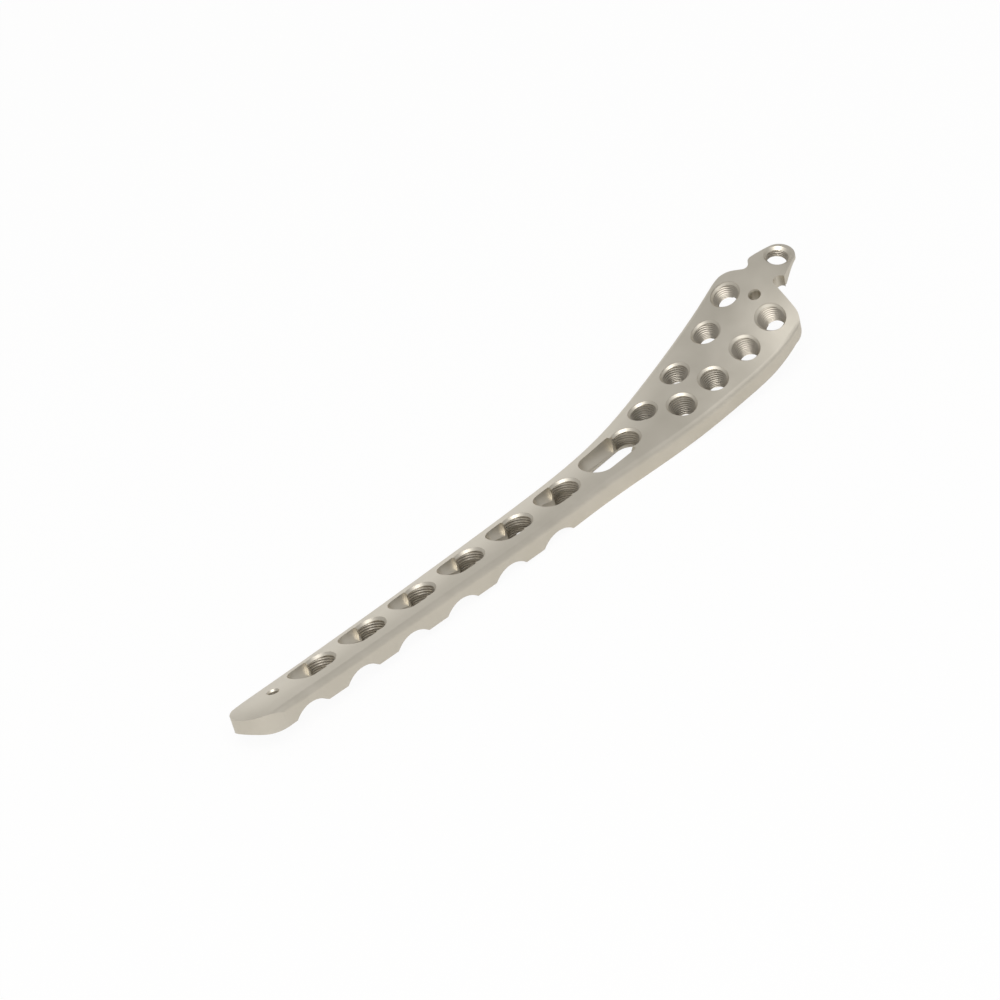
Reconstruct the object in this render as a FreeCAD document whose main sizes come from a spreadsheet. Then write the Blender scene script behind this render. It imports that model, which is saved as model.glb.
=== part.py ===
import FreeCAD, Part
import math
import os

import Sketcher

# Low-bend plate for the inner side of the lower shin bone, made from one piece of steel.
# Plate frame: X runs along the plate towards the wide head, the first shaft hole is at X = 0, Z leaves the
# outer face. The cross-sections stand square to X and turn about the spine as the plate twists.

os.makedirs("parts", exist_ok=True)
doc = FreeCAD.newDocument("bone_plate")
sheet = doc.addObject("Spreadsheet::Sheet", "Sizes")
row = [0]


def cell(alias, value, note=""):
    row[0] += 1
    sheet.set("A%d" % row[0], note)
    sheet.set("B%d" % row[0], str(value))
    sheet.setAlias("B%d" % row[0], alias)


def size(alias):
    value = sheet.get(alias)
    return float(getattr(value, "Value", value))


# Section of the shaft
cell("half_width", 5.6, "half the width of the shaft")
cell("edge_depth", 3.55, "from the sharp top edge down to the lower edge")
cell("crown_shaft", 16, "radius of the outer face across the shaft")
cell("crown_head", 28.5, "radius of the outer face across the head")
cell("crown_from", 65, "where the face begins to flatten")
cell("crown_over", 45, "length over which it flattens")
cell("shoulder", 1.2, "rounding between outer face and side wall")

# Spine: long bow, rise into the head, tab that curls over the ankle
cell("bow_rate", 0.00018, "half the curvature of the long bow")
cell("bow_low", 84, "where the bow alone would be level")
cell("rise_rate", 0.00003, "cubic rise into the head")
cell("rise_from", 53.3, "start of the rise")
cell("curl_rate", 0.0286, "half the curvature of the curl at the tab")
cell("curl_from", 123.5, "start of the curl")

# Twist about the spine, degrees: start, rate and growth of the rate
cell("twist_start", -9.25, "roll at the first hole")
cell("twist_rate", 0.097, "roll per millimetre")
cell("twist_more", 0.00081, "growth of the roll")

# Locking thread, seen as the wall at the root of its turns: a cone, then straight
cell("rim_r", 2.92, "mouth of a hole in the head")
cell("cone_depth", 2.4, "depth of its cone")
cell("root_r", 2.05, "thread root below the cone")
cell("rim_tab_r", 2.7, "mouth of the hole in the tab")
cell("cone_tab_depth", 0.9, "depth of its cone")
cell("root_tab_r", 2.1, "thread root below the cone in the tab")
cell("above", 1.2, "height of the cutters over the face")
cell("under", 8, "depth of the cutters")

# Combination holes
cell("pitch", 13, "spacing of the shaft holes")
cell("lock_rim_r", 3.05, "mouth of the threaded part of a combination hole")
cell("cone_shaft_depth", 2.0, "depth of its cone")
cell("root_shaft_r", 2.35, "thread root below the cone in the shaft")
cell("lock_offset", 2.0, "threaded part, from the middle of the hole")
cell("slot_offset", 2.15, "end of the slot, from the middle of the hole")
cell("long_middle", 79.9, "middle of the long hole")
cell("long_lock_offset", 4.2, "threaded part of the long hole")
cell("long_slot_offset", 3.8, "end of the slot of the long hole")
cell("bowl_r", 3.05, "ball seat of the screw head")
cell("bowl_rise", 0.25, "centre of the ball, measured up from the face")
cell("ramp_drop", 0.6, "how far the seat sinks along the slot")
cell("ramp_short", 1.15, "the seat ends this far short of the threaded part")
cell("slot_r", 2.05, "half the width of the slot through the plate")
cell("long_bowl_r", 3.5, "ball seat of the long hole")
cell("long_slot_r", 2.25, "half the width of the long slot")
cell("flare_from", 3.0, "the long slot widens below this depth")
cell("flare_angle", 35, "how fast it widens, degrees")

# Wire holes
cell("wire_r", 1.0, "hole for a guide wire")
cell("wire_rim_r", 1.2, "its broken edge")
cell("wire_bevel", 0.4, "depth of the broken edge")

# Undercuts of the inner face between the shaft holes
cell("scallop_first", -7.1, "first undercut")
cell("scallop_height", 1.5, "height above the lower edge")
cell("scallop_chord", 8.1, "width along the plate")
cell("scallop_r", "=scallop_chord^2/(8*scallop_height)+scallop_height/2", "radius")

# Nose and neck outlines
cell("nose_from", -12, "where the nose begins")
cell("nose_long", 6.75, "length of the rounded nose")
cell("nose_half", 5.65, "half its width")
cell("nose_shift", -0.5, "middle of its ellipse")
cell("nose_waste", 12, "how far the cut reaches out")
cell("neck_from", 124, "middle of the head's end")
cell("neck_tilt", 15, "slope of the outline's plane")
cell("neck_lift", 14, "the outline's plane stands this far above the spine")

# How the plate lies on a flat surface: turned a little, origin under the middle of its box
cell("rest_pitch", 0.77, "about Y, degrees")
cell("rest_roll", -0.645, "about X, degrees")
cell("rest_x", -58.557, "shift along the plate")
cell("rest_y", 0.001, "shift across it")
cell("rest_z", 5.369, "lift until it touches the surface")
doc.recompute()

Z = "(bow_rate*({x}-bow_low)^2+rise_rate*max(0; {x}-rise_from)^3-curl_rate*max(0; {x}-curl_from)^2)"
SLOPE = ("=atan(2*bow_rate*({x}-bow_low)+3*rise_rate*max(0; {x}-rise_from)^2"
         "-2*curl_rate*max(0; {x}-curl_from))/1 deg")
ROLL = "=twist_start+twist_rate*{x}+twist_more*{x}^2"
CROWN = "=1/(1/crown_shaft+(1/crown_head-1/crown_shaft)*min(1; max(0; ({x}-crown_from)/crown_over)))"


def spot(name, x, side):
    """cells of a point on the outer face: at x along the plate, side across it"""
    cell(name + "_x", x, "along the plate")
    cell(name + "_side", side, "across the face")
    cell(name + "_roll", ROLL.format(x=name + "_x"), "roll, degrees")
    cell(name + "_slope", SLOPE.format(x=name + "_x"), "slope, degrees")
    cell(name + "_crown", CROWN.format(x=name + "_x"), "radius of the face")
    sag = "({n}_crown-sqrt({n}_crown^2-{n}_side^2))".format(n=name)
    turn = "({n}_roll*1 deg)".format(n=name)
    cell(name + "_y", "={n}_side*cos{t}+{s}*sin{t}".format(n=name, t=turn, s=sag), "place")
    z = Z.format(x=name + "_x")
    cell(name + "_z", "={z}+{n}_side*sin{t}-{s}*cos{t}".format(z=z, n=name, t=turn, s=sag), "place")


def place(name, lift="0", turn=None):
    """expression for a plane at that point, moved out of the face and turned about its own axes"""
    base = ("placement(vector(Sizes.{n}_x; Sizes.{n}_y; Sizes.{n}_z); rotation(vector(1; 0; 0); Sizes.{n}_roll)"
            " * rotation(vector(0; 1; 0); -Sizes.{n}_slope))").format(n=name)
    turn = turn or "rotation(vector(1; 0; 0); 0)"
    return base + " * placement(vector(0; 0; {b}); {t})".format(b=lift, t=turn)


UPRIGHT = "rotation(vector(1; 0; 0); 90)"

body = doc.addObject("PartDesign::Body", "Blank")


def new_sketch(name, where=None, role="XY_Plane", owner=None):
    owner = owner or body
    sketch = owner.newObject("Sketcher::SketchObject", name)
    support = [f for f in owner.Origin.OriginFeatures if f.Role == role][0]
    sketch.AttachmentSupport = [(support, "")]
    sketch.MapMode = "FlatFace"
    if where:
        sketch.setExpression("AttachmentOffset", where)
    return sketch


def fix(sketch, kind, *args, expr=None):
    index = sketch.addConstraint(Sketcher.Constraint(kind, *args))
    if expr:
        sketch.setExpression("Constraints[%d]" % index, expr)
    return index


def value(text):
    """number of a short expression of sheet names, for the first drawing of a sketch"""
    total = 0.0
    for part in text.replace("-", "+-").split("+"):
        part = part.strip()
        if not part:
            continue
        sign = -1.0 if part.startswith("-") else 1.0
        part = part.lstrip("-").replace("Sizes.", "")
        try:
            number = float(part)
        except ValueError:
            number = size(part)
        total += sign * number
    return total


def polygon(sketch, points):
    """closed outline with every corner tied to the sheet"""
    xy = [(value(a), value(b)) for a, b in points]
    count = len(xy)
    for i in range(count):
        start = FreeCAD.Vector(xy[i][0], xy[i][1], 0)
        end = FreeCAD.Vector(xy[(i + 1) % count][0], xy[(i + 1) % count][1], 0)
        sketch.addGeometry(Part.LineSegment(start, end), False)
    for i in range(count):
        fix(sketch, "Coincident", i, 2, (i + 1) % count, 1)
    for i, (a, b) in enumerate(points):
        for kind, text, number in (("DistanceX", a, xy[i][0]), ("DistanceY", b, xy[i][1])):
            if abs(number) < 1e-9:
                fix(sketch, "PointOnObject", i, 1, -2 if kind == "DistanceX" else -1)
            else:
                fix(sketch, kind, -1, 1, i, 1, number, expr=text)


# Stations of the plate: x, left, right, edge depth, hollow of the inner face, how far the nose drops
STATIONS = [
    (-22.5, 5.6, 5.6, 0.6, 0.1, 1.8),
    (-20, 5.6, 5.6, 1.25, 0.1, 1.0),
    (-17.3, 5.6, 5.6, 2.95, 0.1, 0.33),
    (-13, 5.6, 5.6, 3.55, 0.1, 0.02),
    (-6, 5.6, 5.6, 3.55, 0.1, 0),
    (14, 5.6, 5.6, 3.55, 0.1, 0),
    (38, 5.6, 5.6, 3.55, 0.1, 0),
    (60, 5.6, 5.6, 3.55, 0.1, 0),
    (72, 5.6, 5.6, 3.55, 0.12, 0),
    (84, 6.25, 6.6, 3.45, 0.27, 0),
    (96, 7.7, 8.1, 3.4, 0.37, 0),
    (108, 8.6, 9.75, 3.4, 0.3, 0),
    (118, 8.93, 11.0, 3.42, 0.15, 0),
    (124.5, 9.0, 11.1, 3.1, 0.2, 0),
    (130, 9.0, 11.1, 2.0, 1.3, 0),
    (138, 9.0, 11.1, 3.4, 1.5, 0),
]
letters = "abcdefghijklmnopqrstuvw"
for letter, (x, left, right, depth, hollow, drop) in zip(letters, STATIONS):
    n = "sec_" + letter
    plain_shaft = left == 5.6 and right == 5.6
    cell(n + "_x", x, "station along the plate")
    cell(n + "_left", "=half_width" if plain_shaft else left, "half width, left")
    cell(n + "_right", "=half_width" if plain_shaft else right, "half width, right")
    cell(n + "_depth", "=edge_depth" if depth == 3.55 else depth, "edge depth")
    cell(n + "_hollow", hollow, "hollow of the inner face")
    cell(n + "_roll", ROLL.format(x=n + "_x"), "roll, degrees")
    cell(n + "_crown", CROWN.format(x=n + "_x"), "radius of the outer face")
    cell(n + "_z", "=%s-%s" % (Z.format(x=n + "_x"), drop), "height of the spine")
    for side in ("left", "right"):
        cell(n + "_low_" + side, "={n}_crown-sqrt({n}_crown^2-{n}_{s}^2)+{n}_depth".format(n=n, s=side),
             "lower edge below the spine")
    cell(n + "_belly", "=({n}_left+{n}_right)^2/(8*{n}_hollow)+{n}_hollow/2".format(n=n),
         "radius of the inner face")

# Holes of the head and tab: name, x, side
HEAD = [
    ("lock_a", 91.8, 2.25), ("lock_b", 96.7, -3.3), ("lock_c", 102.3, 3.0), ("lock_d", 104.8, -4.4),
    ("lock_e", 112.6, 3.6), ("lock_f", 113.4, -5.35), ("lock_g", 120.7, 5.0), ("lock_h", 121.0, -5.9),
]
for name, x, side in HEAD:
    spot(name, x, side)
spot("lock_tab", 132.3, 1.15)
spot("wire_head", 122.9, -0.6)
spot("wire_tip", -9.9, 0)
spot("long", "=long_middle", 0)
for i in range(6):
    spot("combi_%s" % letters[i], "=%d*pitch" % i, 0)
    spot("scallop_%s" % letters[i], "=scallop_first+%d*pitch" % i, 0)
spot("nose", "=nose_from", 0)
doc.recompute()


def section(letter):
    """cross-section: crowned outer face, rounded shoulders, upright side walls, hollow inner face"""
    n = "sec_" + letter
    where = ("placement(vector(0; Sizes.{n}_z; Sizes.{n}_x); rotation(vector(0; 0; 1); Sizes.{n}_roll))").format(n=n)
    sketch = new_sketch("Section_" + letter, where, "YZ_Plane")
    crown = size(n + "_crown")
    r = size("shoulder")
    left = size(n + "_left")
    right = size(n + "_right")
    low_left = size(n + "_low_left")
    low_right = size(n + "_low_right")
    hollow = size(n + "_hollow")

    def shoulder(u):
        side = 1 if u > 0 else -1
        cu = u - side * r
        cw = -crown + math.sqrt((crown - r) ** 2 - cu ** 2)
        k = crown / (crown - r)
        touch = FreeCAD.Vector(cu * k, -crown + (cw + crown) * k, 0)
        return FreeCAD.Vector(cu, cw, 0), touch, FreeCAD.Vector(u, cw, 0)

    lc, lt, lw = shoulder(left)
    rc, rt, rw = shoulder(-right)
    up = FreeCAD.Vector(0, 0, 1)
    middle = FreeCAD.Vector(0, -crown, 0)

    def arc(centre, radius, start, end):
        a = math.atan2(start.y - centre.y, start.x - centre.x)
        b = math.atan2(end.y - centre.y, end.x - centre.x)
        return Part.ArcOfCircle(Part.Circle(centre, up, radius), a, b)

    left_low = FreeCAD.Vector(left, -low_left, 0)
    right_low = FreeCAD.Vector(-right, -low_right, 0)
    mid = (left_low + right_low) * 0.5
    chord = left_low - right_low
    square = FreeCAD.Vector(-chord.y, chord.x, 0).normalize()
    radius = size(n + "_belly")
    half = chord.Length / 2
    belly = mid + square * (hollow - radius)
    belly = mid - square * math.sqrt(max(radius ** 2 - half ** 2, 0))
    sketch.addGeometry(arc(middle, crown, lt, rt), False)
    sketch.addGeometry(arc(lc, r, lw, lt), False)
    sketch.addGeometry(Part.LineSegment(lw, left_low), False)
    sketch.addGeometry(arc(belly, radius, left_low, right_low), False)
    sketch.addGeometry(Part.LineSegment(right_low, rw), False)
    sketch.addGeometry(arc(rc, r, rt, FreeCAD.Vector(rw.x, rw.y - 1e-12, 0)), False)
    return sketch, n


def tie_section(sketch, n):
    fix(sketch, "Tangent", 0, 1, 1, 2)
    fix(sketch, "Tangent", 1, 1, 2, 1)
    fix(sketch, "Coincident", 2, 2, 3, 1)
    fix(sketch, "Coincident", 3, 2, 4, 1)
    fix(sketch, "Tangent", 4, 2, 5, 2)
    fix(sketch, "Tangent", 5, 1, 0, 2)
    fix(sketch, "Vertical", 2)
    fix(sketch, "Vertical", 4)
    fix(sketch, "PointOnObject", 0, 3, -2)
    fix(sketch, "DistanceY", 0, 3, -1, 1, size(n + "_crown"), expr="Sizes.%s_crown" % n)
    fix(sketch, "Radius", 0, size(n + "_crown"), expr="Sizes.%s_crown" % n)
    fix(sketch, "Radius", 1, size("shoulder"), expr="Sizes.shoulder")
    fix(sketch, "Radius", 5, size("shoulder"), expr="Sizes.shoulder")
    fix(sketch, "DistanceX", -1, 1, 2, 2, size(n + "_left"), expr="Sizes.%s_left" % n)
    fix(sketch, "DistanceX", 3, 2, -1, 1, size(n + "_right"), expr="Sizes.%s_right" % n)
    fix(sketch, "DistanceY", 2, 2, -1, 1, size(n + "_low_left"), expr="Sizes.%s_low_left" % n)
    fix(sketch, "DistanceY", 3, 2, -1, 1, size(n + "_low_right"), expr="Sizes.%s_low_right" % n)
    fix(sketch, "Radius", 3, size(n + "_belly"), expr="Sizes.%s_belly" % n)


sections = []
for letter, _ in zip(letters, STATIONS):
    sketch, n = section(letter)
    tie_section(sketch, n)
    sections.append(sketch)
doc.recompute()

band = body.newObject("PartDesign::AdditiveLoft", "Band")
band.Profile = sections[0]
band.Sections = sections[1:]
band.Ruled = False
doc.recompute()


def pocket(sketch, name, length="20", both=False, other_way=False):
    cut = body.newObject("PartDesign::Pocket", name)
    cut.Profile = sketch
    cut.Length = 20
    if both:
        cut.Midplane = True
    cut.Reversed = other_way
    cut.setExpression("Length", length)
    return cut


def rounded(sketch, corners):
    """closed outline of straight runs; a corner with a radius is a tangent arc"""
    count = len(corners)
    points = []
    for i, (a, b, r) in enumerate(corners):
        v = FreeCAD.Vector(a, b, 0)
        if not r:
            points.append((v, v, None))
            continue
        back = FreeCAD.Vector(*corners[i - 1][:2], 0) - v
        ahead = FreeCAD.Vector(*corners[(i + 1) % count][:2], 0) - v
        back.normalize()
        ahead.normalize()
        half = math.acos(max(-1, min(1, back.dot(ahead)))) / 2
        run = r / math.tan(half)
        centre = v + (back + ahead).normalize() * (r / math.sin(half))
        start = v + back * run
        end = v + ahead * run
        turn_left = back.cross(ahead).z < 0
        points.append((start, end, (centre, r, turn_left)))
    index = 0
    runs = []
    for i in range(count):
        start, end, arc = points[i]
        if arc:
            centre, r, turn_left = arc
            a = math.atan2(start.y - centre.y, start.x - centre.x)
            b = math.atan2(end.y - centre.y, end.x - centre.x)
            if not turn_left:
                a, b = b, a
            circle = Part.Circle(centre, FreeCAD.Vector(0, 0, 1), r)
            sketch.addGeometry(Part.ArcOfCircle(circle, a, b), False)
            runs.append((index, 1 if turn_left else 2, 2 if turn_left else 1, True))
            index += 1
        sketch.addGeometry(Part.LineSegment(end, points[(i + 1) % count][0]), False)
        runs.append((index, 1, 2, False))
        index += 1
    total = len(runs)
    for i in range(total):
        one = runs[i]
        two = runs[(i + 1) % total]
        kind = "Tangent" if one[3] or two[3] else "Coincident"
        fix(sketch, kind, one[0], one[2], two[0], two[1])
    return runs


# Nose: everything outside a half ellipse goes
nose = new_sketch("Nose_outline", place("nose", lift="10"))
a_long = size("nose_long")
a_half = size("nose_half")
shift = size("nose_shift")
waste = size("nose_waste")
ellipse = Part.Ellipse(FreeCAD.Vector(shift, 0, 0), a_long, a_half)
nose.addGeometry(Part.ArcOfEllipse(ellipse, math.pi / 2, 3 * math.pi / 2), False)
out = [(shift, -a_half), (shift, -waste), (-waste, -waste), (-waste, waste), (shift, waste), (shift, a_half)]
for one, two in zip(out, out[1:]):
    nose.addGeometry(Part.LineSegment(FreeCAD.Vector(*one, 0), FreeCAD.Vector(*two, 0)), False)
fix(nose, "Coincident", 0, 2, 1, 1)
for i in range(1, 5):
    fix(nose, "Coincident", i, 2, i + 1, 1)
fix(nose, "Coincident", 5, 2, 0, 1)
major = nose.GeometryCount
nose.exposeInternalGeometry(0)
minor = major + 1
fix(nose, "PointOnObject", 0, 3, -1)
fix(nose, "Horizontal", major)
fix(nose, "Vertical", 1)
fix(nose, "Horizontal", 2)
fix(nose, "Vertical", 3)
fix(nose, "Horizontal", 4)
fix(nose, "Vertical", 5)
fix(nose, "DistanceX", 0, 3, -1, 1, -shift, expr="-Sizes.nose_shift")
fix(nose, "Distance", major, 2 * a_long, expr="2*Sizes.nose_long")
fix(nose, "Distance", minor, 2 * a_half, expr="2*Sizes.nose_half")
fix(nose, "DistanceX", 0, 1, -1, 1, -shift, expr="-Sizes.nose_shift")
fix(nose, "DistanceX", 0, 2, -1, 1, -shift, expr="-Sizes.nose_shift")
fix(nose, "DistanceX", 3, 1, -1, 1, waste, expr="Sizes.nose_waste")
fix(nose, "DistanceY", 3, 1, -1, 1, waste, expr="Sizes.nose_waste")
fix(nose, "DistanceY", -1, 1, 3, 2, waste, expr="Sizes.nose_waste")
pocket(nose, "Nose", "20")
doc.recompute()

# Head end, neck and tab: everything outside the outline goes
cell("neck_roll", ROLL.format(x="neck_from"), "roll there")
cell("neck_z", "=" + Z.format(x="neck_from"), "height there")
doc.recompute()
neck_where = ("placement(vector(Sizes.neck_from; 0; Sizes.neck_z); rotation(vector(1; 0; 0); Sizes.neck_roll)"
              " * rotation(vector(0; 1; 0); -Sizes.neck_tilt)) * placement(vector(0; 0; Sizes.neck_lift);"
              " rotation(vector(1; 0; 0); 0))")
neck = new_sketch("Neck_outline", neck_where)
OUTLINE = [
    (-9, 9.4, 0), (0.3, 8.25, 4), (2.99, 3.96, 1.0), (4.77, 5.8, 1.3), (19.2, 2.3, 2.9), (4.95, -2.8, 0.4),
    (5.15, -1.55, 1.1), (2.85, -1.55, 1.1), (0.15, -11.25, 4), (-9.5, -11.3, 0), (-9.5, -22, 0), (24, -22, 0),
    (24, 22, 0), (-9, 22, 0),
]
rounded(neck, OUTLINE)
pocket(neck, "Neck", "40")
doc.recompute()

# Undercuts of the inner face
cell("scallop_middle", "=crown_shaft-sqrt(crown_shaft^2-half_width^2)+edge_depth-scallop_height+scallop_r",
     "axis of the undercut below the outer face")
doc.recompute()
for i in range(6):
    name = "scallop_" + letters[i]
    sketch = new_sketch(name + "_circle", place(name, turn=UPRIGHT))
    sketch.addGeometry(Part.Circle(FreeCAD.Vector(0, -size("scallop_middle"), 0), FreeCAD.Vector(0, 0, 1),
                                   size("scallop_r")), False)
    fix(sketch, "PointOnObject", 0, 3, -2)
    fix(sketch, "DistanceY", 0, 3, -1, 1, size("scallop_middle"), expr="Sizes.scallop_middle")
    fix(sketch, "Radius", 0, size("scallop_r"), expr="Sizes.scallop_r")
    pocket(sketch, "Undercut_" + letters[i], "4*Sizes.half_width", both=True)
doc.recompute()

# Hole shapes, each made once about its own axis and then placed. A cone goes on above the face.
cell("rim_over_r", "=rim_r+above*(rim_r-root_r)/cone_depth", "the cone carried on above the face")
cell("rim_tab_over_r", "=rim_tab_r+above*(rim_tab_r-root_tab_r)/cone_tab_depth", "the same in the tab")
cell("lock_over_r", "=lock_rim_r+above*(lock_rim_r-root_shaft_r)/cone_shaft_depth", "the same in the shaft")
cell("wire_over_r", "=wire_rim_r+above*(wire_rim_r-wire_r)/wire_bevel", "the same at a wire hole")
doc.recompute()


def tool(name):
    return doc.addObject("PartDesign::Body", name)


def turned(owner, sketch, name):
    solid = owner.newObject("PartDesign::Revolution", name)
    solid.Profile = sketch
    solid.ReferenceAxis = (sketch, ["V_Axis"])
    solid.Angle = 360
    return solid


def pad(owner, sketch, name, length, other_way=False):
    solid = owner.newObject("PartDesign::Pad", name)
    solid.Profile = sketch
    solid.Length = 5
    solid.setExpression("Length", length)
    solid.Reversed = other_way
    return solid


def along(shift, lift="0", turn=UPRIGHT):
    return "placement(vector({a}; 0; {b}); {t})".format(a=shift, b=lift, t=turn)


def lock_shape(owner, name, over, root, depth, shift="0"):
    sketch = new_sketch(name + "_profile", along(shift), owner=owner)
    polygon(sketch, [("0", "-Sizes.under"), ("Sizes." + root, "-Sizes.under"), ("Sizes." + root, "-Sizes." + depth),
                     ("Sizes." + over, "Sizes.above"), ("0", "Sizes.above")])
    return turned(owner, sketch, name + "_turned")


def combination(name, lock_at, slot_at, bowl_cell, slot_cell, flare=False):
    """threaded hole towards the head, slot with a sinking ball seat towards the nose"""
    owner = tool(name)
    lock_shape(owner, name + "_lock", "lock_over_r", "root_shaft_r", "cone_shaft_depth", shift=lock_at)

    bowl = new_sketch(name + "_bowl_profile", along("-" + slot_at), owner=owner)
    r = size(bowl_cell)
    rise = size("bowl_rise")
    top = rise + size("above")
    flat = [(0, rise - r), (0, top), (r, top), (r, rise)]
    for one, two in zip(flat, flat[1:]):
        bowl.addGeometry(Part.LineSegment(FreeCAD.Vector(*one, 0), FreeCAD.Vector(*two, 0)), False)
    ball = Part.Circle(FreeCAD.Vector(0, rise, 0), FreeCAD.Vector(0, 0, 1), r)
    bowl.addGeometry(Part.ArcOfCircle(ball, -math.pi / 2, 0), False)
    fix(bowl, "Coincident", 0, 2, 1, 1)
    fix(bowl, "Coincident", 1, 2, 2, 1)
    fix(bowl, "Tangent", 2, 2, 3, 2)
    fix(bowl, "Coincident", 0, 1, 3, 1)
    fix(bowl, "Vertical", 0)
    fix(bowl, "Horizontal", 1)
    fix(bowl, "PointOnObject", 3, 3, -2)
    fix(bowl, "PointOnObject", 0, 1, -2)
    fix(bowl, "DistanceY", -1, 1, 3, 3, rise, expr="Sizes.bowl_rise")
    fix(bowl, "Radius", 3, r, expr="Sizes." + bowl_cell)
    fix(bowl, "DistanceY", -1, 1, 1, 1, top, expr="Sizes.bowl_rise+Sizes.above")
    turned(owner, bowl, name + "_bowl")

    run = "(%s+%s-Sizes.ramp_short)" % (lock_at, slot_at)
    tilt = "rotation(vector(0; 1; 0); atan(Sizes.ramp_drop/%s)) * rotation(vector(0; 1; 0); 90)" % run
    seat = new_sketch(name + "_seat_circle", along("-" + slot_at, "Sizes.bowl_rise", tilt), owner=owner)
    seat.addGeometry(Part.Circle(FreeCAD.Vector(0, 0, 0), FreeCAD.Vector(0, 0, 1), r), False)
    fix(seat, "Coincident", 0, 3, -1, 1)
    fix(seat, "Radius", 0, r, expr="Sizes." + bowl_cell)
    pad(owner, seat, name + "_seat", run)

    def slot_outline(part, depth, half, half_text):
        slot = new_sketch(name + part, along("0", "-" + depth, "rotation(vector(1; 0; 0); 0)"), owner=owner)
        a = value(slot_at)
        b = value(lock_at)
        up = FreeCAD.Vector(0, 0, 1)
        head_end = Part.Circle(FreeCAD.Vector(b, 0, 0), up, half)
        nose_end = Part.Circle(FreeCAD.Vector(-a, 0, 0), up, half)
        slot.addGeometry(Part.LineSegment(FreeCAD.Vector(-a, -half, 0), FreeCAD.Vector(b, -half, 0)), False)
        slot.addGeometry(Part.ArcOfCircle(head_end, -math.pi / 2, math.pi / 2), False)
        slot.addGeometry(Part.LineSegment(FreeCAD.Vector(b, half, 0), FreeCAD.Vector(-a, half, 0)), False)
        slot.addGeometry(Part.ArcOfCircle(nose_end, math.pi / 2, 3 * math.pi / 2), False)
        for i in range(4):
            fix(slot, "Tangent", i, 2, (i + 1) % 4, 1)
        fix(slot, "Equal", 1, 3)
        fix(slot, "PointOnObject", 3, 3, -1)
        fix(slot, "PointOnObject", 1, 3, -1)
        fix(slot, "DistanceX", 3, 3, -1, 1, a, expr=slot_at)
        fix(slot, "DistanceX", -1, 1, 1, 3, b, expr=lock_at)
        fix(slot, "Radius", 3, half, expr=half_text)
        return slot

    through = slot_outline("_slot_outline", "Sizes.under", size(slot_cell), "Sizes." + slot_cell)
    pad(owner, through, name + "_slot", "Sizes.under")
    if flare:
        reach = "(Sizes.under-Sizes.flare_from)"
        wide = size(slot_cell) + (size("under") - size("flare_from")) * math.tan(math.radians(size("flare_angle")))
        low = slot_outline("_flare_outline", "Sizes.under", wide,
                           "Sizes.%s+%s*tan(Sizes.flare_angle*1 deg)" % (slot_cell, reach))
        cone = pad(owner, low, name + "_flare", reach)
        cone.setExpression("TaperAngle", "-Sizes.flare_angle")
    return owner


lock_tool = tool("Lock_hole")
lock_shape(lock_tool, "Lock", "rim_over_r", "root_r", "cone_depth")
tab_tool = tool("Tab_hole")
lock_shape(tab_tool, "Tab", "rim_tab_over_r", "root_tab_r", "cone_tab_depth")
wire_tool = tool("Wire_hole")
wire = new_sketch("Wire_profile", along("0"), owner=wire_tool)
polygon(wire, [("0", "-Sizes.under"), ("Sizes.wire_r", "-Sizes.under"), ("Sizes.wire_r", "-Sizes.wire_bevel"),
               ("Sizes.wire_over_r", "Sizes.above"), ("0", "Sizes.above")])
turned(wire_tool, wire, "Wire_turned")
combi_tool = combination("Combi", "Sizes.lock_offset", "Sizes.slot_offset", "bowl_r", "slot_r")
long_tool = combination("Long", "Sizes.long_lock_offset", "Sizes.long_slot_offset", "long_bowl_r", "long_slot_r",
                        flare=True)
doc.recompute()

holes = []
SPOTS = [(name, lock_tool) for name, _, _ in HEAD]
SPOTS += [("lock_tab", tab_tool), ("wire_head", wire_tool), ("wire_tip", wire_tool), ("long", long_tool)]
SPOTS += [("combi_" + letters[i], combi_tool) for i in range(6)]
for name, source in SPOTS:
    link = doc.addObject("App::Link", "At_" + name)
    link.LinkedObject = source
    link.LinkTransform = False
    link.setExpression("Placement", place(name))
    holes.append(link)
gathered = doc.addObject("Part::Compound", "Holes")
gathered.Links = holes
doc.recompute()

plate = doc.addObject("Part::Cut", "Plate")
plate.Label = "bone_plate"
plate.Base = body
plate.Tool = gathered
plate.Refine = False
plate.setExpression("Placement", "placement(vector(Sizes.rest_x; Sizes.rest_y; Sizes.rest_z);"
                    " rotation(vector(1; 0; 0); Sizes.rest_roll) * rotation(vector(0; 1; 0); Sizes.rest_pitch))")
doc.recompute()

bad = [o.Name for o in doc.Objects if "Invalid" in o.State or "Error" in o.State]
if bad or plate.Shape.isNull() or not plate.Shape.isValid():
    raise RuntimeError("failed: %s" % bad)
plate.Shape.exportStep("parts/bone_plate.step")
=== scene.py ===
import math

import bpy
from mathutils import Matrix, Vector


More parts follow.
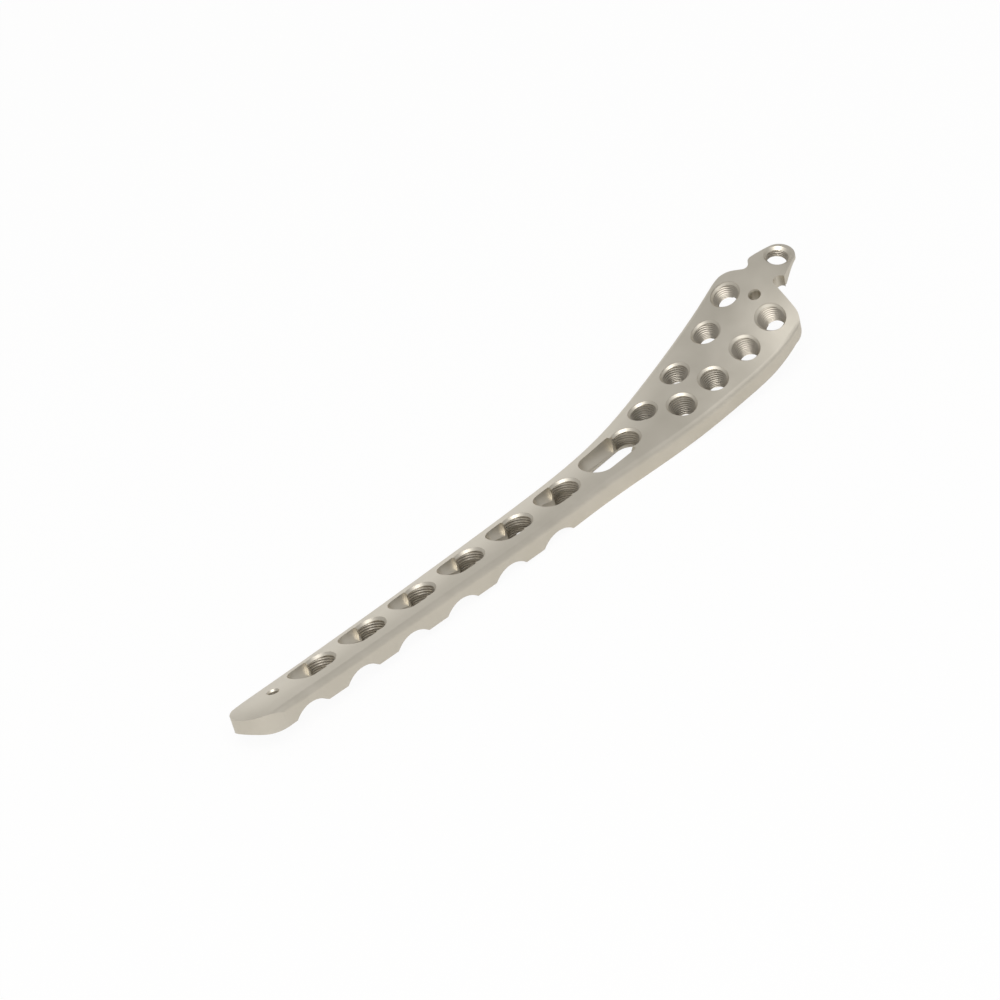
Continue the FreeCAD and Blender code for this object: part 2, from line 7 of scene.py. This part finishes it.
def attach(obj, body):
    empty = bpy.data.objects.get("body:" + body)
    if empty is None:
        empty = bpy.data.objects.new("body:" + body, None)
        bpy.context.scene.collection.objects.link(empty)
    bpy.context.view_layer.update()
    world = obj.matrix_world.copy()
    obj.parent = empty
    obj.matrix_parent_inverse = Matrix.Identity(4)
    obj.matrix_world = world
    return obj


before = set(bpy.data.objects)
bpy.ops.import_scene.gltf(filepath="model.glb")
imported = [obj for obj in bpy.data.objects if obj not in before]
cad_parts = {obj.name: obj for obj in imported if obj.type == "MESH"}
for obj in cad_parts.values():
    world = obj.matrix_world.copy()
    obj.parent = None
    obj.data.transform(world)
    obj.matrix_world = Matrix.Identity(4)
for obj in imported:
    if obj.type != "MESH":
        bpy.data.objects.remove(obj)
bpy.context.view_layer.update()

# The plate's own frame, in millimetres: X along the plate from the first shaft hole, Z out of the outer face.
# It lies at rest after a small turn and a shift.
REST_TURN = Matrix.Rotation(math.radians(-0.645), 4, "X") @ Matrix.Rotation(math.radians(0.77), 4, "Y")
REST_SHIFT = Matrix.Translation((-58.557, 0.001, 5.369))
REST = REST_SHIFT @ REST_TURN
TO_METRES = Matrix.Scale(0.001, 4)


def spine_height(x):
    rise = 3e-5 * max(0, x - 53.3) ** 3
    curl = 0.0286 * max(0, x - 123.5) ** 2
    return 1.8e-4 * (x - 84) ** 2 + rise - curl


def spine_slope(x):
    return math.atan(3.6e-4 * (x - 84) + 9e-5 * max(0, x - 53.3) ** 2 - 0.0572 * max(0, x - 123.5))


def twist(x):
    return math.radians(-9.25 + 0.097 * x + 0.00081 * x * x)


def crown_radius(x):
    flattened = min(1, max(0, (x - 65) / 45))
    return 1 / (1 / 16 + (1 / 28.5 - 1 / 16) * flattened)


def hole_place(x, side):
    """millimetre frame of a hole: its mouth on the outer face, Z along its axis, X towards the head"""
    r = crown_radius(x)
    sag = r - math.sqrt(r * r - side * side)
    a = twist(x)
    y = side * math.cos(a) + sag * math.sin(a)
    z = spine_height(x) + side * math.sin(a) - sag * math.cos(a)
    turn = Matrix.Rotation(a, 4, "X") @ Matrix.Rotation(-spine_slope(x), 4, "Y")
    return Matrix.Translation((x, y, z)) @ turn


def face_depth(where, x, y):
    """depth of the crowned outer face below the flat mouth plane of a hole, at a place in that plane"""
    depth = 0.0
    for _ in range(3):
        point = where @ Vector((x, y, -depth))
        a = twist(point.x)
        height = point.z - spine_height(point.x)
        across = point.y * math.cos(a) + height * math.sin(a)
        over = height * math.cos(a) - point.y * math.sin(a)
        r = crown_radius(point.x)
        depth += over + r - math.sqrt(r * r - across * across)
    return depth


def nothing_selected():
    if bpy.context.object and bpy.context.object.mode != "OBJECT":
        bpy.ops.object.mode_set(mode="OBJECT")
    bpy.ops.object.select_all(action="DESELECT")


def linear(hexa):
    """linear colour of an sRGB hex value"""
    values = [int(hexa[i:i + 2], 16) / 255 for i in (1, 3, 5)]
    return tuple(v / 12.92 if v <= 0.04045 else ((v + 0.055) / 1.055) ** 2.4 for v in values) + (1.0,)


def node(tree, kind, links=(), **settings):
    """adds a node, sets its properties and input values, and makes its links"""
    made = tree.nodes.new(kind)
    for key, value in settings.items():
        if key.startswith("in_"):
            made.inputs[key[3:].replace("_", " ")].default_value = value
        else:
            setattr(made, key, value)
    for socket, source in links:
        tree.links.new(source, made.inputs[socket])
    return made


def satin(name, dark, light, smooth, rough, strength):
    """steel whose tone and sheen drift over some millimetres, with grains of about 0.15 mm"""
    mat = bpy.data.materials.new(name)
    mat.use_nodes = True
    tree = mat.node_tree
    tree.nodes.clear()
    where = node(tree, "ShaderNodeTexCoord").outputs["Object"]
    cloud = node(tree, "ShaderNodeTexNoise", [("Vector", where)], in_Scale=160.0, in_Detail=3.0)
    grain = node(tree, "ShaderNodeTexNoise", [("Vector", where)], in_Scale=5200.0, in_Detail=2.0)
    tone = node(tree, "ShaderNodeValToRGB", [("Fac", cloud.outputs["Fac"])])
    tone.color_ramp.elements[0].position = 0.3
    tone.color_ramp.elements[0].color = linear(dark)
    tone.color_ramp.elements[1].position = 0.7
    tone.color_ramp.elements[1].color = linear(light)
    sheen = node(tree, "ShaderNodeMapRange", [("Value", cloud.outputs["Fac"])])
    sheen.inputs["From Min"].default_value = 0.3
    sheen.inputs["From Max"].default_value = 0.7
    sheen.inputs["To Min"].default_value = smooth
    sheen.inputs["To Max"].default_value = rough
    bump = node(tree, "ShaderNodeBump", [("Height", grain.outputs["Fac"])],
                in_Strength=strength, in_Distance=3e-5)
    links = [("Base Color", tone.outputs["Color"]), ("Roughness", sheen.outputs["Result"]),
             ("Normal", bump.outputs["Normal"])]
    shader = node(tree, "ShaderNodeBsdfPrincipled", links, in_Metallic=1.0)
    node(tree, "ShaderNodeOutputMaterial", [("Surface", shader.outputs["BSDF"])])
    return mat


# Implant stainless steel, bead-blasted and electropolished: a soft warm grey with a broad sheen
steel = satin("bead_blasted_stainless_steel", "#d0cabd", "#d6d0c4", 0.46, 0.52, 0.12)
# Cut threads are missed by the beads: a tighter sheen, and a darker tone that is partly their own and partly
# painted shade of the deep holes
cut_steel_with_painted_shade = satin("machined_thread_steel_painted_shade", "#afa89c", "#b6afa3", 0.36, 0.40, 0.04)
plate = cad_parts["bone_plate"]
for place in plate.material_slots:
    place.material = steel

# Thread, in millimetres: lead, height over the mouth plane where the ridge starts, its width at the crest as a
# share of its width at the root, and how far added forms reach into the solid
PITCH = 0.42
THREAD_START = -0.4
CREST_WIDTH = 0.18
SUNK = 0.06

# Blank of a ring or a ridge before its points are moved into place: radius, lead and steps of a turn
BLANK_R = 10
BLANK_LEAD = 1.25
TURN_STEPS = 48


def dress(made, where, surface_material=steel):
    """outward normals, soft shading, the place in the plate's frame, the material (on threads the darker cut
    steel, whose tone carries painted shade) and the body
    """
    if made.mode != "EDIT":
        bpy.ops.object.mode_set(mode="EDIT")
    bpy.ops.mesh.select_all(action="SELECT")
    bpy.ops.mesh.normals_make_consistent(inside=False)
    bpy.ops.object.mode_set(mode="OBJECT")
    bpy.ops.object.shade_smooth_by_angle(angle=math.radians(40))
    made.data.transform(TO_METRES @ REST @ where)
    made.data.update()
    made.data.materials.clear()
    made.data.materials.append(surface_material)
    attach(made, "root")


def cut_behind(plane):
    """removes what reaches into a slot behind the plane and closes the cut"""
    if plane is None:
        return
    bpy.ops.object.mode_set(mode="EDIT")
    bpy.ops.mesh.select_all(action="SELECT")
    bpy.ops.mesh.bisect(plane_co=(plane, 0, 0), plane_no=(1, 0, 0), clear_inner=True)
    bpy.ops.mesh.select_all(action="DESELECT")
    bpy.ops.mesh.select_non_manifold(extend=False)
    bpy.ops.mesh.fill_holes(sides=12)


def wheel(name, major_segments):
    """ring with a square section: points at its top, inside, bottom and outside"""
    nothing_selected()
    bpy.ops.mesh.primitive_torus_add(major_segments=major_segments, minor_segments=4, major_radius=BLANK_R,
                                     minor_radius=1)
    made = bpy.context.object
    made.name = name
    return made


def around(v):
    """angle of a point about the hole's axis and its distance from the blank's radius"""
    return math.atan2(v.co.y, v.co.x), math.hypot(v.co.x, v.co.y) - BLANK_R


def thread_ridge(name, where, shape, floor, cut_at):
    """helical ridge on the wall of a hole; floor(x, y) is the depth of the inner face there"""
    mouth_r, root_r, cone_depth, bevel, stop, first_r, last_r = shape
    narrowing = (mouth_r - root_r) / cone_depth
    crest_narrowing = (first_r - last_r) / (cone_depth - bevel)

    nothing_selected()
    bpy.ops.mesh.primitive_plane_add(size=1, location=(BLANK_R, 0, 0), rotation=(math.pi / 2, 0, 0))
    ridge = bpy.context.object
    ridge.name = name
    bpy.ops.object.transform_apply(location=True, rotation=True, scale=True)
    bpy.ops.object.mode_set(mode="EDIT")
    bpy.ops.mesh.select_all(action="DESELECT")
    bpy.ops.object.mode_set(mode="OBJECT")
    for v in ridge.data.vertices:
        v.select = v.co.x < BLANK_R
    bpy.ops.object.mode_set(mode="EDIT")
    bpy.ops.transform.resize(value=(1, 1, CREST_WIDTH))
    bpy.ops.mesh.select_all(action="SELECT")
    bpy.ops.mesh.delete(type="ONLY_FACE")
    bpy.ops.object.mode_set(mode="OBJECT")
    screw = ridge.modifiers.new("turns", "SCREW")
    screw.steps = TURN_STEPS
    screw.render_steps = TURN_STEPS
    screw.screw_offset = BLANK_LEAD
    screw.iterations = int(round((stop - THREAD_START) / PITCH))
    screw.use_merge_vertices = False
    screw.use_smooth_shade = True
    bpy.ops.object.modifier_apply(modifier="turns")
    bpy.ops.object.mode_set(mode="EDIT")
    bpy.ops.mesh.select_all(action="SELECT")
    bpy.ops.mesh.remove_doubles(threshold=0.0001)
    bpy.ops.mesh.select_all(action="DESELECT")
    bpy.ops.mesh.select_non_manifold(extend=False)
    bpy.ops.mesh.edge_face_add()
    bpy.ops.object.mode_set(mode="OBJECT")
    for v in ridge.data.vertices:
        angle, out = around(v)
        reach = 0.5 - out
        depth = THREAD_START + v.co.z * PITCH / BLANK_LEAD
        high = face_depth(where, mouth_r * math.cos(angle), -mouth_r * math.sin(angle)) + bevel + SUNK
        under_face = depth < high
        depth = max(depth, high)
        wall = max(root_r, mouth_r - narrowing * depth)
        crest = max(last_r, first_r - crest_narrowing * (depth - bevel))
        low = floor(wall * math.cos(angle), -wall * math.sin(angle)) - SUNK
        if depth > low or under_face:
            depth = min(depth, low)
            crest = wall
        r = wall + 0.04 - reach * (wall + 0.03 - crest)
        v.co = (r * math.cos(angle), -r * math.sin(angle), -depth)
    cut_behind(cut_at)
    # the threads take the darker cut steel, whose tone carries painted shade of the hole
    dress(ridge, where, cut_steel_with_painted_shade)


def bevel_ring(name, where, shape, cut_at):
    """ring from the mouth, along the crowned face, down to the first turn"""
    mouth_r, root_r, cone_depth, bevel, stop, first_r, last_r = shape
    narrowing = (mouth_r - root_r) / cone_depth
    crest_narrowing = (first_r - last_r) / (cone_depth - bevel)
    ring = wheel(name, 96)
    for v in ring.data.vertices:
        angle, out = around(v)
        corner = 0 if v.co.z > 0.5 else 1 if out < -0.5 else 2 if v.co.z < -0.5 else 3
        high = face_depth(where, mouth_r * math.cos(angle), mouth_r * math.sin(angle)) + 0.02
        edge = high + bevel
        edge_r = first_r - crest_narrowing * (edge - bevel)
        under = edge + 0.17
        section = [(mouth_r - narrowing * high + 0.02, high), (edge_r, edge), (edge_r + 0.02, edge + 0.12),
                   (mouth_r - narrowing * under + 0.03, under)]
        r, depth = section[corner]
        v.co = (r * math.cos(angle), r * math.sin(angle), -depth)
    cut_behind(cut_at)
    dress(ring, where)


def thread_turns(name, where, shape, floor, cut_at=None):
    thread_ridge(name, where, shape, floor, cut_at)
    bevel_ring(name + "_bevel", where, shape, cut_at)


# Mouth radius, root radius, depth of the cone, height of the bevel, depth of the last turn, radius inside the
# turns at the bevel and deep down
HEAD_THREAD = (2.92, 2.05, 2.4, 0.42, 4.75, 2.5, 1.83)
TAB_THREAD = (2.7, 2.1, 0.9, 0.45, 2.6, 2.15, 1.88)
SHAFT_THREAD = (3.05, 2.35, 2.0, 0.45, 4.6, 2.64, 2.1)


def flat_floor(middle, along, across):
    return lambda x, y: middle + along * x + across * y


def undercut_floor(x, y):
    """inner face at a shaft hole: the round undercut starts close to it on the head's side"""
    undercut_r = 6.22
    off = 3.9 - x
    return min(4.4, 3.06 + undercut_r - math.sqrt(max(0, undercut_r ** 2 - off ** 2)))


# Holes of the head: along, across, thickness of the plate at the hole and its slopes
HEAD_HOLES = [
    (91.8, 2.25, 4.23, 0, 0.02), (96.7, -3.3, 4.26, 0.03, -0.05), (102.3, 3.0, 4.25, 0, 0.01),
    (104.8, -4.4, 4.27, 0.05, -0.05), (112.6, 3.6, 4.36, 0, -0.02), (113.4, -5.35, 4.47, 0.06, -0.06),
    (120.7, 5.0, 3.97, -0.07, -0.03), (121.0, -5.9, 4.25, -0.03, -0.05),
]
for number, (x, side, thick, along, across) in enumerate(HEAD_HOLES, 1):
    thread_turns("thread_head_%d" % number, hole_place(x, side), HEAD_THREAD, flat_floor(thick, along, across))
thread_turns("thread_tab", hole_place(132.3, 1.15), TAB_THREAD, flat_floor(2.2, 0, 0))

# Shaft: six combination holes, the last without an undercut beside it, and the long hole
HOLE_SPACING = 13.0
for number in range(6):
    middle = hole_place(HOLE_SPACING * number, 0) @ Matrix.Translation((2.0, 0, 0))
    floor = undercut_floor if number < 5 else flat_floor(4.35, 0, 0)
    thread_turns("thread_shaft_%d" % (number + 1), middle, SHAFT_THREAD, floor, cut_at=-1.05)
middle = hole_place(79.9, 0) @ Matrix.Translation((4.2, 0, 0))
thread_turns("thread_long", middle, SHAFT_THREAD, flat_floor(3.1, 0, 0), cut_at=-0.62)

# Side of the head: the solid's outline runs a little inside the round flank there, so this strip carries the
# flank on, with its rounded shoulder, until it meets the corner. Its sections along the plate:
STATIONS = [114.6, 115.2, 115.9, 116.6, 117.6, 118.6, 119.6, 120.4, 121.1, 121.8, 122.4, 123.0]


def flank_section(x):
    """closed section across the plate: shoulder, side wall, lower edge and a back inside the solid"""
    half = 9.75 + 0.125 * (x - 108) - 0.00664 * (x - 108) * (x - 118)
    # The strip starts and ends just inside the solid, so no step shows
    half -= 0.01 + 0.0044 * max(0, 118 - x) ** 1.7 + 0.045 * max(0, x - 121.2) ** 2
    crown = crown_radius(x)
    middle_u = half - 1.2
    middle_w = math.sqrt((crown - 1.2) ** 2 - middle_u ** 2) - crown
    middle_w -= 0.025 * min(2.8, max(0, 118 - x))
    low = -5.565 + 0.0085 * (x - 117) ** 2
    points = []
    for turn in (62, 50, 38, 26, 13, 0):
        a = math.radians(turn)
        points.append((middle_u + 1.2 * math.cos(a), middle_w + 1.2 * math.sin(a)))
    points += [(half, low), (half - 0.9, low + 0.03), (half - 0.9, middle_w), points[0]]
    return points


nothing_selected()
bpy.ops.mesh.primitive_grid_add(x_subdivisions=len(STATIONS) - 1, y_subdivisions=9, size=2)
flank = bpy.context.object
flank.name = "head_flank"
for v in flank.data.vertices:
    x = STATIONS[int(round((v.co.x + 1) / 2 * (len(STATIONS) - 1)))]
    side, height = flank_section(x)[int(round((v.co.y + 1) / 2 * 9))]
    a = twist(x)
    across = -side * math.cos(a) - height * math.sin(a)
    v.co = (x, across, spine_height(x) - side * math.sin(a) + height * math.cos(a))
bpy.ops.object.mode_set(mode="EDIT")
bpy.ops.mesh.select_all(action="SELECT")
bpy.ops.mesh.remove_doubles(threshold=0.001)
bpy.ops.mesh.select_all(action="DESELECT")
bpy.ops.mesh.select_non_manifold(extend=False)
bpy.ops.mesh.fill_holes(sides=0)
dress(flank, Matrix.Identity(4))

# Collar under the tab's hole: the tab is fuller there than the solid, so its thread is longer
collar = wheel("tab_collar", 64)
for v in collar.data.vertices:
    a, out = around(v)
    r = 2.1 if out < -0.5 or v.co.z > 0.5 else 2.7
    depth = 0.75 if v.co.z > 0.5 or out > 0.5 else 2.2
    v.co = (r * math.cos(a), r * math.sin(a), -depth)
# the collar takes the darker cut steel, whose tone carries painted shade of the hole
dress(collar, hole_place(132.3, 1.15), cut_steel_with_painted_shade)

# Table and studio
nothing_selected()
bpy.ops.mesh.primitive_plane_add(size=6, location=(0, 0, 0))
table = bpy.context.object
table.name = "table_top"
paper = bpy.data.materials.new("matt_white_paper")
paper.use_nodes = True
tree = paper.node_tree
tree.nodes.clear()
ray = node(tree, "ShaderNodeLightPath")
matt = node(tree, "ShaderNodeBsdfDiffuse", in_Color=linear("#ecebe9"))
glow = node(tree, "ShaderNodeEmission", in_Color=(1, 1, 1, 1), in_Strength=1.0)
share = node(tree, "ShaderNodeMath", [(0, ray.outputs["Is Camera Ray"])], operation="MULTIPLY")
share.inputs[1].default_value = 0.94
both = node(tree, "ShaderNodeMixShader", [(0, share.outputs[0]), (1, matt.outputs[0]), (2, glow.outputs[0])])
node(tree, "ShaderNodeOutputMaterial", [("Surface", both.outputs[0])])
table.data.materials.append(paper)

world = bpy.data.worlds.new("studio")
bpy.context.scene.world = world
world.use_nodes = True
world.node_tree.nodes["Background"].inputs[0].default_value = (1.0, 0.995, 0.985, 1)
world.node_tree.nodes["Background"].inputs[1].default_value = 0.52


def soft_box(name, place, aim, size, power, shade=(1, 1, 1)):
    data = bpy.data.lights.new(name, "AREA")
    data.shape = "SQUARE"
    data.size = size
    data.energy = power
    data.color = shade
    lamp = bpy.data.objects.new(name, data)
    bpy.context.collection.objects.link(lamp)
    lamp.location = place
    lamp.rotation_euler = (Vector(aim) - Vector(place)).to_track_quat("-Z", "Y").to_euler()
    return lamp


soft_box("over_the_camera", (-0.5, -0.57, 0.9), (0, 0, 0), 0.8, 9.5)
soft_box("low_behind", (0.9, 1.1, 0.4), (0, 0, 0), 1.0, 2.0)

# Camera: fitted to the photograph in the plate's frame, then laid down with the plate
AZIMUTH = math.radians(42.425)
ELEVATION = math.radians(28.964)
SPIN = math.radians(-12.375)
DISTANCE = 1213.02
PIXELS_PER_MM = 5.6084
level = Vector((math.cos(AZIMUTH), -math.sin(AZIMUTH), 0))
towards = Vector((-math.sin(AZIMUTH) * math.cos(ELEVATION), -math.cos(AZIMUTH) * math.cos(ELEVATION),
                  math.sin(ELEVATION)))
upward = Vector((math.sin(AZIMUTH) * math.sin(ELEVATION), math.cos(AZIMUTH) * math.sin(ELEVATION),
                 math.cos(ELEVATION)))
right = level * math.cos(SPIN) + upward * math.sin(SPIN)
top = upward * math.cos(SPIN) - level * math.sin(SPIN)
spot = Vector((60, 0, 0))
eye = spot + towards * DISTANCE
aim = spot + right * ((500 - 538.9) / PIXELS_PER_MM) + top * ((505.8 - 500) / PIXELS_PER_MM)
back = (eye - aim).normalized()
right = (right - back * right.dot(back)).normalized()
top = back.cross(right)
pose = Matrix((right, top, back)).transposed().to_4x4()
pose.translation = eye
pose = REST @ pose
pose.translation = pose.translation * 0.001
data = bpy.data.cameras.new("camera")
data.sensor_width = 36
data.lens = 36 * PIXELS_PER_MM * DISTANCE / 1000
data.clip_start = 0.05
data.clip_end = 20
camera = bpy.data.objects.new("camera", data)
bpy.context.collection.objects.link(camera)
camera.matrix_world = pose
bpy.context.scene.camera = camera
bpy.context.scene.view_settings.view_transform = "Standard"
